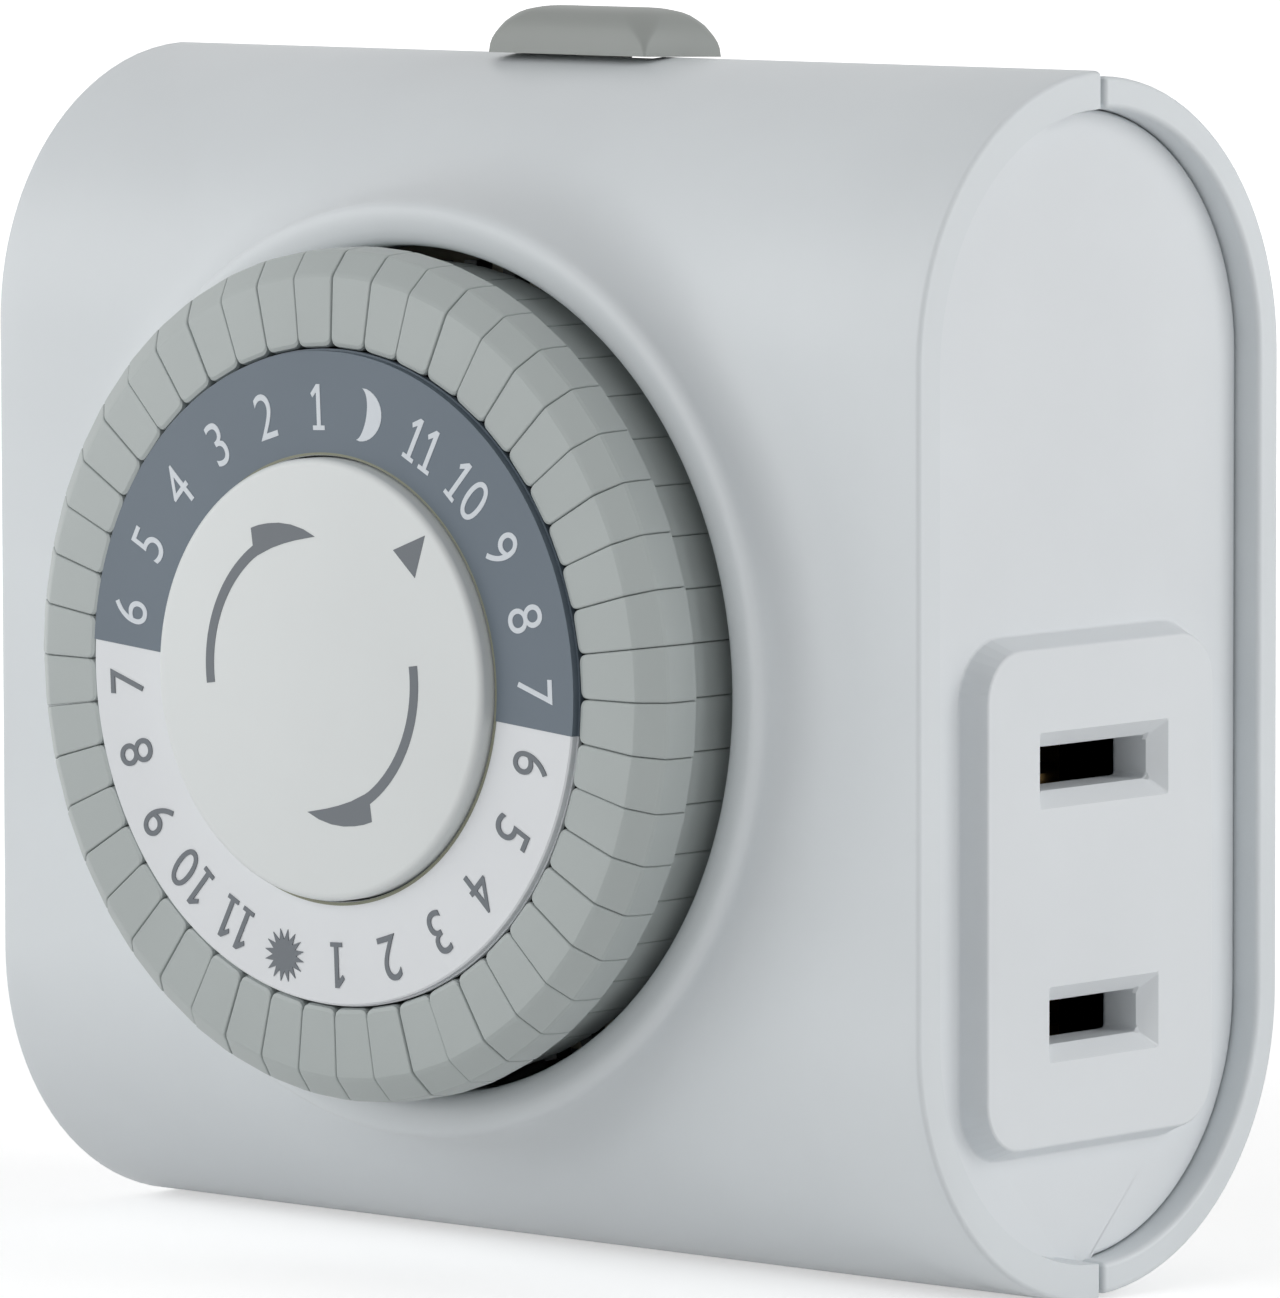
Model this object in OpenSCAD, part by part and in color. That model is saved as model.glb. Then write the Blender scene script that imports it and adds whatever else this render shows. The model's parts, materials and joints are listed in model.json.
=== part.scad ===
// Plug-in 24-hour timer switch with a push-in segment dial and two side outlets.
// Frame: +Z is up, the wall is the plane y = 0, and the dial faces -Y.
// A depth is a distance from the wall plane towards the front, so y = -depth.

/* [Housing] */
// Width of the housing, end to end
body_w = 63; // [62:1:70]
// Height of the front shell at its crown
body_h = 61.4; // [61.4:0.2:64]
// Depth of the housing, from the wall face to the flat front
body_d = 28.2; // [28.2:0.1:29]
// Radius of the shells' rounded top and bottom, a little over half the depth
bend_r = 14.2; // [14.2:0.1:15]
// Wall thickness of both shells
wall = 1.6; // [1.4:0.1:1.8]
// How much lower the rear shell's crown is than the front shell's
crown_step = 0.3; // [0:0.05:0.4]
// Open line between the two shells
seam_gap = 0.4; // [0.1:0.1:0.5]
// How far the end panels sit back from the shells' rims
panel_recess = 1.45; // [1:0.05:1.8]

/* [Dial] */
// Height of the dial's axis above the middle of the housing
dial_z = 0.2; // [0:0.1:1]
// Radius of the hole in the collar
collar_r = 21.5; // [21.4:0.1:21.8]
// Depth of the collar's lip from the wall plane
collar_d = 31; // [30:0.1:31.5]
// Radius of the fixed centre cap
cap_r = 11.1; // [10:0.1:11.2]
// Depth of the centre cap's face from the wall plane
cap_d = 37.5; // [37:0.1:38]
// Outer radius of the printed hour ring
ring_r = 16.3; // [16:0.1:16.3]
// Depth of the printed ring's face from the wall plane
ring_d = 36.5; // [36.4:0.1:36.6]

/* [Trippers] */
// Number of trippers, one for each half hour
tripper_count = 48; // [48]
// Inner and outer radius of a tripper's head
tripper_r = [16.65, 21.5];
// Outer radius of a tripper's leg
leg_r = 20.3; // [20:0.1:20.3]
// How far a tripper is pushed in to switch its half hour on
tripper_travel = 2.2; // [1.8:0.1:2.2]

/* [Gears] */
// Tooth size: pitch diameter divided by the number of teeth
gear_module = 0.4; // [0.4]
// Teeth on the dial gear
dial_teeth = 72; // [72]
// Teeth on both pinions
pinion_teeth = 12; // [12]
// Teeth on the intermediate wheel
wheel_teeth = 48; // [48]

/* [Outlets and plug] */
// Height of the outlets' centre, measured from the middle of the housing
outlet_z = -10.1; // [-10.3:0.1:-10]
// Distance between the two blades of a plug
blade_pitch = 12.7; // [12.7]
// Wide, neutral blade
neutral_blade_h = 7.9; // [7.9]
// Narrow, hot blade
hot_blade_h = 6.35; // [6.35]
// Thickness of a blade
blade_t = 1.5; // [1.5]
// Length of a blade beyond the wall face
blade_len = 16.5; // [15.9:0.1:18]

/* [Override switch] */
// Travel of the override knob
knob_travel = 2.8; // [2:0.1:2.8]
// Length, depth and height of the knob
knob_size = [10.8, 6, 2.15];

/* [Quality] */
// Segments on a full circle
$fn = 96; // [48:8:128]

/* [Hidden] */
e = 0.01;                              // overlap that makes cuts clean
seam_d = body_d / 2;                   // depth of the line between the shells
crown_rise = sqrt(pow(bend_r, 2) - pow(bend_r - seam_d, 2));
bend_z = body_h / 2 - crown_rise;      // height where the front shell starts to bend
end_x = body_w / 2;
panel_x = end_x - panel_recess;        // outer face of an end panel
panel_t = 1.6;                         // thickness of an end panel
groove_t = 1.2;                        // width of the groove that holds a panel
groove_depth = 0.5;

// dial
pitch_a = 360 / tripper_count;
head_gap_a = 0.6;                      // angle left free between two heads
leg_a = 4.2;                           // angle that a leg fills
fin_a = 2.3;                           // angle that a dial wheel fin fills
head_d = [33.6, 36.3];                 // depth of a head's back and front
neck_r = 21;                           // outer radius of the tripper behind its head
neck_d = 28.4;                         // depth where a tripper narrows to its leg
leg_d = 24.6;                          // depth of a leg's free end
fin_d = [24.8, 26];                     // depth of the fins, below a pressed neck
fin_r = 20.5;
drum_r = [15.4, 16.3];
hub_r = 6.2;
post_r = 4.0;                          // fixed post that the dial turns on
post_fit = 0.05;                       // radial play of the dial on its post
stem_r = 2.5;                          // stem that holds the centre cap in the post

// gear train, all depths from the wall plane
dial_gear_d = [20.0, 22.0];
plate_d = [18.0, 19.6];                // mechanism plate
wheel_d = [16.3, 17.5];                // intermediate wheel and output pinion
axle_r = 0.75;
axle_fit = 0.05;
dial_pitch_r = gear_module * dial_teeth / 2;
pinion_pitch_r = gear_module * pinion_teeth / 2;
wheel_pitch_r = gear_module * wheel_teeth / 2;
inter_a = 60;                          // direction of the intermediate axle from the dial
output_a = 170;                        // direction of the output pinion from that axle
inter_xz = [0, dial_z] + (dial_pitch_r + pinion_pitch_r) * [cos(inter_a), sin(inter_a)];
output_xz = inter_xz + (wheel_pitch_r + pinion_pitch_r) * [cos(output_a), sin(output_a)];

// motor
motor_xz = [-5.5, 12];
motor_r = 11;
motor_d = [4.8, 15.0];
can_t = 0.6;
lead_r = 0.5;

// screws: x, z of each
pillars = [[25.2, 3.5], [-25.2, 3.5], [24.6, outlet_z], [-24.6, outlet_z]];
pillar_r = 2.6;
foot_r = 3.4;
screw_r = 1.3;
head_r = 2.5;
counterbore = [2.7, 1.8];              // radius and depth of a screw head's recess

// current-carrying parts
strip_t = 0.8;
strip_end_x = 25.5;                    // how far the two long strips reach to each side
blade_root_d = 4;                      // depth of a plug blade's inner end
blade_hole = [1.55, 11.5];             // radius of the hole in a blade and its distance from the wall face
clip_t = 0.6;
clip_x = [14.6, 27.6];                 // where a contact clip starts and ends
neutral_z = outlet_z + blade_pitch / 2;
hot_z = outlet_z - blade_pitch / 2;
outlet_d = seam_d - 0.2;               // depth of the outlet slots' centre
line_d = [2.0, 2.8];                   // neutral strip and line strip
load_d = [4.0, 4.8];                   // load strip

// switch
nose_a = 50;                           // direction of the follower's nose from the dial
lever_xz = [21.7, 8.9];
lever_d = [22.8, 24.2];
drive_xz = [21.75, 4.5];
tail_xz = [22.6, 13.5];
rod_r = 0.6;                           // both rods that stand on the lever
spring_r = [2.3, 2.7];                 // inner and outer radius of the lever's spring
leaf_x = [20.6, 21.0];
leaf_root_z = -1;
contact_z = 6;
contact_d = 9;

// override
knob_x = -knob_travel / 2;
knob_z = body_h / 2 + 0.35;            // underside of the knob
slide_z = [26.4, 27.8];
neck = [4, 2.6];                       // length and depth of the knob's neck
neck_play = 0.35;
finger_x = [17.9, 19.1];

hour_names = [for (h = [0:23]) str("hour_", h < 10 ? "0" : "", h)];

// ---- drawing helpers ----

// Front view [x, z], pushed from depth d[0] to depth d[1]
module front(d) rotate([90, 0, 0]) translate([0, 0, d[0]]) linear_extrude(d[1] - d[0]) children();

// Profile [radius, depth], turned about a front-to-back axis through [x, z]
module turned(xz, angle = 360) {
  rotate([90, 0, 0]) translate([xz[0], xz[1], 0]) rotate_extrude(angle = angle) children();
}

// Side view [y, z], pushed from x[0] to x[1]
module along_x(x) rotate([90, 0, 90]) translate([0, 0, x[0]]) linear_extrude(x[1] - x[0]) children();

module disc(xz, r, d) front(d) translate(xz) circle(r);

module tube(xz, r, d) front(d) translate(xz) difference() { circle(r[1]); circle(r[0]); }

// Box given by its x, depth and z ranges
module box(x, d, z) translate([x[0], -d[1], z[0]]) cube([x[1] - x[0], d[1] - d[0], z[1] - z[0]]);

module rounded_square(size, r) {
  for (u = [-1, 1], v = [-1, 1]) translate([u * (size[0] / 2 - r), v * (size[1] / 2 - r)]) circle(r);
  square([size[0] - 2 * r, size[1]], center = true);
  square([size[0], size[1] - 2 * r], center = true);
}

// ---- gear outline ----

function radians(a) = a * PI / 180;
function involute(base_r, roll) =
  base_r * [cos(roll) + radians(roll) * sin(roll), sin(roll) - radians(roll) * cos(roll)];
function turn(p, a) = [p[0] * cos(a) - p[1] * sin(a), p[0] * sin(a) + p[1] * cos(a)];
function roll_at(base_r, r) = sqrt(pow(max(r, base_r) / base_r, 2) - 1) * 180 / PI;

pressure_a = 20;
backlash = 0.07;
flank_steps = 3;

// Spur gear with a tooth centred on the direction first_a
module gear(teeth, first_a) {
  pitch_r = gear_module * teeth / 2;
  base_r = pitch_r * cos(pressure_a);
  tip_r = pitch_r + 0.9 * gear_module;
  root_r = pitch_r - 1.2 * gear_module;
  at_pitch = involute(base_r, roll_at(base_r, pitch_r));
  half_a = 90 / teeth - backlash / 2 / pitch_r * 180 / PI + atan2(at_pitch[1], at_pitch[0]);
  low_r = max(root_r, base_r);
  flank = [for (i = [0:flank_steps])
    turn(involute(base_r, roll_at(base_r, low_r + (tip_r - low_r) * i / flank_steps)), -half_a)];
  mirrored = [for (i = [flank_steps:-1:0]) [flank[i][0], -flank[i][1]]];
  foot = turn([root_r, 0], -half_a);
  tooth = concat([foot], flank, mirrored, [[foot[0], -foot[1]]]);
  polygon([for (k = [0:teeth - 1], p = tooth) turn(p, first_a + 360 * k / teeth)]);
}

// ---- housing ----

// Half outline of the housing, drawn in [y, z] and moved in by inset
module outline_half(inset, flat_z) {
  for (side = [-1, 1]) intersection() {
    translate([-bend_r, side * flat_z]) circle(bend_r - inset, $fn = 192);
    translate([bend_r - body_d, side * flat_z]) circle(bend_r - inset, $fn = 192);
  }
  translate([inset - body_d, -flat_z]) square([body_d - 2 * inset, 2 * flat_z]);
}

module front_outline(inset) intersection() {
  outline_half(inset, bend_z);
  translate([-body_d - e, -body_h]) square([body_d - seam_d + e, 2 * body_h]);
}

module rear_outline(inset) intersection() {
  outline_half(inset, bend_z - crown_step);
  translate([-seam_d, -body_h]) square([seam_d + e, 2 * body_h]);
}

module housing_outline(inset) {
  front_outline(inset);
  rear_outline(inset);
}

// What is cut from both shells: the panels' grooves, the knob's slot and the seam
module shell_cuts() {
  for (side = [0, 1]) mirror([side, 0, 0])
    along_x([panel_x - panel_t - 0.1, panel_x - panel_t - 0.1 + groove_t])
      housing_outline(wall - groove_depth);
  slot_x = knob_travel / 2 + neck[0] / 2 + neck_play;
  slot_d = neck[1] / 2 + neck_play;
  box([-slot_x, slot_x], [seam_d - slot_d, seam_d + slot_d], [slide_z[1], body_h / 2 + 1]);
}

collar_profile = [
  [collar_r, 22], [collar_r, collar_d - 0.3], [collar_r + 0.3, collar_d],
  [collar_r + 1.4, collar_d], [collar_r + 1.9, collar_d - 0.5], [collar_r + 3.6, 22]
];

module front_shell() color("whitesmoke") {
  difference() {
    union() {
      difference() {
        union() {
          along_x([-end_x, end_x]) front_outline(0);
          turned([0, dial_z]) polygon(collar_profile);
        }
        along_x([-end_x - 1, end_x + 1]) housing_outline(wall);
      }
      for (p = pillars) disc(p, pillar_r, [plate_d[1] + 0.1, body_d - wall + e]);
    }
    disc([0, dial_z], collar_r, [20, collar_d + 1]);
    for (p = pillars) disc(p, screw_r + 0.02, [plate_d[1], body_d - wall - 1.5]);
    box([-end_x - 1, end_x + 1], [seam_d - 1, seam_d + seam_gap / 2], [-body_h, body_h]);
    shell_cuts();
  }
}

// Lip along the top or bottom of the rear shell that lies inside the front shell
module seam_lip(x, side) {
  intersection() {
    along_x(x) housing_outline(wall + 0.06);
    box(x, [seam_d - seam_gap / 2 - e, seam_d + 1.8], side > 0 ? [28.2, 31] : [-31, -28.2]);
  }
  box(x, [seam_d - 2, seam_d - seam_gap / 2], side > 0 ? [28.2, 29.0] : [-29.0, -28.2]);
}

module rear_shell() color("whitesmoke") {
  difference() {
    union() {
      difference() {
        along_x([-end_x, end_x]) rear_outline(0);
        along_x([-end_x - 1, end_x + 1]) housing_outline(wall);
        box([-end_x - 1, end_x + 1], [seam_d - seam_gap / 2, seam_d + 1], [-body_h, body_h]);
      }
      for (p = pillars) {
        disc(p, pillar_r, [wall - e, plate_d[0]]);
        disc(p, foot_r, [wall - e, 4]);
      }
      disc(inter_xz, 2, [wall - e, wheel_d[0] - 0.15]);
      for (a = [90, 210, 330])
        disc(motor_xz + (motor_r - 2) * [cos(a), sin(a)], 1.4, [wall - e, motor_d[0]]);
      seam_lip([13, panel_x - panel_t - 0.2], 1);
      seam_lip([-(panel_x - panel_t - 0.2), -13], 1);
      seam_lip([-(panel_x - panel_t - 0.2), panel_x - panel_t - 0.2], -1);
    }
    for (p = pillars) {
      disc(p, screw_r + 0.2, [-1, plate_d[0] + 1]);
      disc(p, counterbore[0], [-1, counterbore[1]]);
    }
    disc(inter_xz, axle_r + 0.01, [8, wheel_d[0]]);
    blade_slot(-1, neutral_blade_h);
    blade_slot(1, hot_blade_h);
    shell_cuts();
  }
}

// Slot in the back wall that a plug blade stands in
module blade_slot(side, height) {
  x = side * blade_pitch / 2;
  play = 0.05;
  box([x - blade_t / 2 - play, x + blade_t / 2 + play], [-1, wall + 1],
    [-height / 2 - play, height / 2 + play]);
}

// Blade slot of an outlet with its sloped mouth, in the right panel
module outlet_slot(z, length) {
  width = 2.2;
  funnel = 0.8;
  box([panel_x - panel_t - 1, end_x + 1], [outlet_d - length / 2, outlet_d + length / 2],
    [z - width / 2, z + width / 2]);
  hull() {
    box([end_x - funnel - e, end_x - funnel], [outlet_d - length / 2, outlet_d + length / 2],
      [z - width / 2, z + width / 2]);
    box([end_x, end_x + e], [outlet_d - length / 2 - funnel, outlet_d + length / 2 + funnel],
      [z - width / 2 - funnel, z + width / 2 + funnel]);
  }
}

pad_foot = [18.8, 26];
pad_face = [17.6, 24.8];
pad_corner_r = [3.1, 2.5];             // corner radius at the pad's foot and face

module outlet_panel() {
  inner_x = panel_x - panel_t;
  difference() {
    union() {
      along_x([inner_x, inner_x + groove_t - 0.2]) housing_outline(wall - groove_depth + 0.1);
      along_x([inner_x + groove_t - 0.2 - e, panel_x]) housing_outline(wall + 0.05);
      hull() {
        along_x([panel_x - e, panel_x])
          translate([-seam_d, outlet_z]) rounded_square(pad_foot, pad_corner_r[0], $fn = 32);
        along_x([end_x - e, end_x])
          translate([-seam_d, outlet_z]) rounded_square(pad_face, pad_corner_r[1], $fn = 32);
      }
    }
    outlet_slot(neutral_z, 8.5);
    outlet_slot(hot_z, 7.0);
  }
}

module right_outlet_panel() color("whitesmoke") outlet_panel();
module left_outlet_panel() color("whitesmoke") mirror([1, 0, 0]) outlet_panel();

module assembly_screws() color("silver") for (p = pillars) {
  disc(p, screw_r, [counterbore[1], body_d - wall - 2.5]);
  difference() {
    disc(p, head_r, [0.3, counterbore[1]]);
    for (a = [0, 90]) front([0, 1.1]) translate(p) rotate(a) square([2.8, 0.6], center = true);
  }
}

// ---- fixed mechanism ----

module mechanism_plate() color("gainsboro") difference() {
  union() {
    front(plate_d) translate([0, 1]) rounded_square([55, 42], 4);
    disc([0, dial_z], post_r, [plate_d[0], cap_d - 1.6]);
    disc([0, dial_z], post_r + 2, [plate_d[0], dial_gear_d[0] - 0.15]);
    for (a = [150, 270])
      disc(motor_xz + (motor_r - 2) * [cos(a), sin(a)], 1.2, [motor_d[1] + can_t, plate_d[1]]);
  }
  disc([0, dial_z], stem_r, [28, cap_d]);
  for (p = pillars) disc(p, screw_r + 0.2, [0, plate_d[1] + 1]);
  disc(inter_xz, pinion_pitch_r + 0.9, [0, plate_d[1] + 1]);
  disc(lever_xz, axle_r + 0.01, [0, plate_d[1] + 1]);
  for (p = [drive_xz, tail_xz]) front([0, plate_d[1] + 1]) translate(p) rounded_square([3.2, 2.4], 1.1);
}

module centre_cap() color("whitesmoke") turned([0, dial_z]) polygon([
  [0, 29], [stem_r - 0.03, 29], [stem_r - 0.03, cap_d - 1.55], [cap_r - 0.1, cap_d - 1.55],
  [cap_r, cap_d - 1.4], [cap_r, cap_d - 0.2], [cap_r - 0.2, cap_d], [0, cap_d]
]);

// ---- current-carrying parts ----

module plug_blade(side, height) {
  x = side * blade_pitch / 2;
  difference() {
    box([x - blade_t / 2, x + blade_t / 2], [-blade_len + 1, blade_root_d], [-height / 2, height / 2]);
    translate([x, blade_hole[1], 0]) rotate([0, 90, 0])
      cylinder(r = blade_hole[0], h = 2 * blade_t, center = true);
  }
  hull() {
    box([x - blade_t / 2, x + blade_t / 2], [-blade_len + 1, -blade_len + 1 + e], [-height / 2, height / 2]);
    box([x - 0.4, x + 0.4], [-blade_len, -blade_len + e], [-height / 2 + 0.6, height / 2 - 0.6]);
  }
}

module neutral_plug_blade() color("gold") {
  plug_blade(-1, neutral_blade_h);
  x = -blade_pitch / 2;
  box([x - blade_t / 2, x + blade_t / 2], [line_d[1], blade_root_d],
    [neutral_z - 2.6, -neutral_blade_h / 2 + e]);
}

module hot_plug_blade() color("gold") plug_blade(1, hot_blade_h);

module neutral_strip() color("goldenrod")
  box([-strip_end_x, strip_end_x], line_d, [neutral_z - 2.7, neutral_z - 0.65]);

module line_strip() color("goldenrod") {
  box([blade_pitch / 2 + blade_t / 2 + 0.01, leaf_x[1] + clip_t], line_d, [0.2, 2.8]);
  box([leaf_x[1] + 0.01, leaf_x[1] + clip_t], [line_d[0], 11.5], [leaf_root_z, 2.8]);
}

module load_strip() color("goldenrod")
  box([-strip_end_x, strip_end_x], load_d, [hot_z - 3.2, hot_z - 0.7]);

// Pair of spring leaves that grips a plug's blade, with a tail back to its strip
module contact_clip(z, tail_d) {
  for (side = [0, 1]) translate([0, 0, z]) mirror([0, 0, side])
    box(clip_x, [9.4, 17.6], [blade_t / 2, blade_t / 2 + clip_t]);
  box(clip_x, [9.4 - clip_t, 9.4], [z - blade_t / 2 - clip_t, z + blade_t / 2 + clip_t]);
  box([22, 25], [tail_d, 9.4], [z - blade_t / 2 - clip_t, z - blade_t / 2]);
}

module right_neutral_clip() color("goldenrod") contact_clip(neutral_z, line_d[1]);
module right_hot_clip() color("goldenrod") contact_clip(hot_z, load_d[1]);
module left_neutral_clip() color("goldenrod") mirror([1, 0, 0]) contact_clip(neutral_z, line_d[1]);
module left_hot_clip() color("goldenrod") mirror([1, 0, 0]) contact_clip(hot_z, load_d[1]);

module contact_button(x) translate([x[0], -contact_d, contact_z]) rotate([0, 90, 0])
  cylinder(r = 1.3, h = x[1] - x[0], $fn = 48);

module fixed_contact() color("goldenrod") {
  box([17.4, 19.8], load_d, [hot_z - 0.7, contact_z + 2]);
  box([17.4, 17.4 + strip_t], [load_d[0], contact_d + 2.5], [contact_z - 2, contact_z + 2]);
  contact_button([17.4 + strip_t - e, 18.9]);
}

module moving_contact() color("peru") {
  box(leaf_x, [6.5, 11.5], [leaf_root_z, contact_z + 2]);
  contact_button([19.6, leaf_x[0] + e]);
}

// ---- switch lever and override ----

module bar(a, b, w, d) {
  along = b - a;
  front(d) translate(a) rotate(atan2(along[1], along[0])) translate([0, -w / 2]) square([norm(along), w]);
  disc(a, w / 2, d);
  disc(b, w / 2, d);
}

module follower_lever() color("darkorange") {
  nose_tip = [0, dial_z] + (leg_r + 0.15) * [cos(nose_a), sin(nose_a)];
  nose_root = [0, dial_z] + (leg_r + 1.9) * [cos(nose_a), sin(nose_a)];
  difference() {
    union() {
      bar(nose_root, lever_xz, 1.8, lever_d);
      bar(nose_root, nose_tip + 0.5 * [cos(nose_a), sin(nose_a)], 1.0, lever_d);
      bar(lever_xz, drive_xz, 2 * rod_r, lever_d);
      bar(lever_xz, tail_xz, 1.8, lever_d);
      disc(lever_xz, 1.9, [plate_d[1] + 0.2, lever_d[1]]);
      disc(drive_xz, rod_r, [7, lever_d[1]]);
      disc(tail_xz, rod_r, [12, lever_d[1]]);
    }
    disc(lever_xz, axle_r + axle_fit, [0, 30]);
  }
}

module lever_pin() color("silver") {
  disc(lever_xz, axle_r, [plate_d[0], lever_d[1] + 0.6]);
  disc(lever_xz, 1.2, [lever_d[1] + 0.15, lever_d[1] + 0.6]);
}

module lever_spring() color("silver") {
  tube(lever_xz, spring_r, [plate_d[1] + 0.2, lever_d[0] - 0.3]);
  box([lever_xz[0] + spring_r[0], lever_xz[0] + spring_r[1]], [plate_d[1] + 0.2, plate_d[1] + 0.6],
    [lever_xz[1], lever_xz[1] + 5]);
}

module override_knob() color("darkgray") {
  translate([knob_x, -seam_d, 0]) {
    hull() {
      translate([0, 0, knob_z]) linear_extrude(1.2)
        rounded_square([knob_size[0], knob_size[1]], 1.6, $fn = 32);
      translate([0, 0, knob_z + 1.2]) linear_extrude(0.5)
        rounded_square([knob_size[0] - 0.7, knob_size[1] - 0.7], 1.5, $fn = 32);
      translate([0, 0, knob_z + knob_size[2] - 0.1]) linear_extrude(0.1)
        rounded_square([knob_size[0] - 2.6, knob_size[1] - 2.4], 1.2, $fn = 32);
    }
    translate([-neck[0] / 2, -neck[1] / 2, slide_z[1]]) cube([neck[0], neck[1], knob_z - slide_z[1] + e]);
  }
}

module override_slide() color("dimgray") {
  box([-9, finger_x[1]], [seam_d - 2.5, seam_d + 2.5], slide_z);
  box(finger_x, [seam_d - 2.5, seam_d + 0.5], [tail_xz[1] - 1, slide_z[0] + e]);
}

// ---- motor ----

module motor_can() color("lightsteelblue") difference() {
  disc(motor_xz, motor_r, motor_d);
  disc(motor_xz, motor_r - can_t, [motor_d[0] + can_t, motor_d[1] + 1]);
  disc(motor_xz, 0.55, [0, motor_d[1]]);
}

module motor_cover() color("slategray") difference() {
  disc(motor_xz, motor_r, [motor_d[1], motor_d[1] + can_t]);
  disc(output_xz, 1.05, [motor_d[1] - 1, motor_d[1] + 1]);
}

bobbin_d = [5.6, 11.6];
module coil_bobbin() color("ivory") {
  tube(motor_xz, [5.5, 6.1], bobbin_d);
  for (d = [bobbin_d[0], bobbin_d[1] - 0.6]) tube(motor_xz, [5.5, 10.2], [d, d + 0.6]);
}

module motor_coil() color("chocolate")
  tube(motor_xz, [6.15, 10.0], [bobbin_d[0] + 0.65, bobbin_d[1] - 0.65]);

module magnet_rotor() color("dimgray") {
  disc(motor_xz, 5, [6, 11]);
  disc(motor_xz, 0.5, [motor_d[0] + 0.1, 13.5]);
  disc(motor_xz, 1.2, [11 - e, 12.6]);
}

module output_pinion() color("silver") {
  front(wheel_d) translate(output_xz) gear(pinion_teeth, output_a + 180 + 180 / pinion_teeth);
  disc(output_xz, 1.0, [12.8, wheel_d[0] + e]);
}

// Two wires: each rises from its strip and then runs to the side of the motor
module motor_leads() color("firebrick") {
  up_x = motor_xz[0] - 3;
  up_z = [neutral_z - 1.5, motor_xz[1] - motor_r + 0.25];
  translate([up_x, -8, up_z[0]]) cylinder(r = lead_r, h = up_z[1] - up_z[0], $fn = 24);
  box([up_x - lead_r, up_x + lead_r], [line_d[1], 8 + lead_r], [up_z[0] - 2 * lead_r + e, up_z[0] + e]);
  across_x = [0.45, 10.5];
  across_z = 2.2;
  translate([across_x[0], -6, across_z]) rotate([0, 90, 0])
    cylinder(r = lead_r, h = across_x[1] - across_x[0], $fn = 24);
  box([across_x[1] - e, across_x[1] + 2 * lead_r], [line_d[1], 6 + lead_r],
    [across_z - lead_r, across_z + lead_r]);
}

// ---- gear train ----

module intermediate_gear() color("khaki") difference() {
  union() {
    front([dial_gear_d[0] - 0.1, dial_gear_d[1] + 0.1]) translate(inter_xz)
      gear(pinion_teeth, inter_a + 180 + 180 / pinion_teeth);
    disc(inter_xz, pinion_pitch_r - 0.6, [wheel_d[1] - e, dial_gear_d[0]]);
    front(wheel_d) translate(inter_xz) gear(wheel_teeth, output_a);
  }
  disc(inter_xz, axle_r + axle_fit, [0, 30]);
}

module intermediate_axle() color("silver") disc(inter_xz, axle_r, [8, dial_gear_d[1] + 0.3]);

module dial_gear() color("wheat") difference() {
  front(dial_gear_d) translate([0, dial_z]) gear(dial_teeth, inter_a);
  disc([0, dial_z], hub_r, [0, 30]);
}

// ---- dial ----

module dial_wheel() color("dimgray") {
  translate([0, 0, dial_z]) rotate([0, pitch_a / 2, 0]) turned([0, 0]) polygon([
    [post_r + post_fit, dial_gear_d[0] + e], [hub_r - 0.02, dial_gear_d[0] + e],
    [hub_r - 0.02, dial_gear_d[1]], [hub_r + 1.4, dial_gear_d[1]], [hub_r + 1.4, dial_gear_d[1] + 1],
    [hub_r, dial_gear_d[1] + 1], [hub_r, 34], [drum_r[0], 34], [drum_r[0], fin_d[0] - 0.2],
    [drum_r[1], fin_d[0] - 0.2], [drum_r[1], ring_d - 0.6], [cap_r + 0.3, ring_d - 0.6],
    [cap_r + 0.3, cap_d - 1.8], [post_r + post_fit, cap_d - 1.8]
  ]);
  for (k = [0:tripper_count - 1])
    translate([0, 0, dial_z]) rotate([0, k * pitch_a, 0]) turned_wedge(fin_a)
      polygon([
        [drum_r[1] - 0.1, fin_d[0]], [fin_r, fin_d[0]], [fin_r, fin_d[1]], [drum_r[1] - 0.1, fin_d[1]]
      ]);
}

// Wedge of a turned profile about the dial's axis, centred on the direction 0
module turned_wedge(angle)
  rotate([90, 0, 0]) rotate(-angle / 2) rotate_extrude(angle = angle) children();

module printed_hour_ring() color("white")
  tube([0, dial_z], [cap_r + 0.08, ring_r], [ring_d - 0.6, ring_d]);

// Profile [radius, depth] of a tripper's head and of the neck behind it
head_profile = [
  [tripper_r[0], neck_d], [neck_r, neck_d], [neck_r, head_d[0]], [tripper_r[1], head_d[0]],
  [tripper_r[1], 34.2], [21.25, 35.05], [20.5, 36.18], [20.4, head_d[1]],
  [tripper_r[0] + 0.2, head_d[1]], [tripper_r[0], head_d[1] - 0.2]
];

module tripper() {
  turned_wedge(pitch_a - head_gap_a) polygon(head_profile);
  turned_wedge(leg_a) polygon([
    [tripper_r[0], leg_d], [leg_r, leg_d], [leg_r, neck_d + e], [tripper_r[0], neck_d + e]
  ]);
}

// The two trippers of one hour, counted clockwise from the top
module hour_trippers(hour) color("silver")
  for (half = [0, 1])
    translate([0, 0, dial_z]) rotate([0, -90 + (2 * hour + half + 0.5) * pitch_a, 0]) tripper();

front_shell();
rear_shell();
right_outlet_panel();
left_outlet_panel();
assembly_screws();
mechanism_plate();
centre_cap();
neutral_plug_blade();
hot_plug_blade();
neutral_strip();
line_strip();
load_strip();
right_neutral_clip();
right_hot_clip();
left_neutral_clip();
left_hot_clip();
fixed_contact();
moving_contact();
follower_lever();
lever_pin();
lever_spring();
override_knob();
override_slide();
motor_can();
motor_cover();
coil_bobbin();
motor_coil();
magnet_rotor();
output_pinion();
intermediate_gear();
intermediate_axle();
motor_leads();
dial_wheel();
dial_gear();
printed_hour_ring();
for (h = [0:23]) hour_trippers(h);
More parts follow.
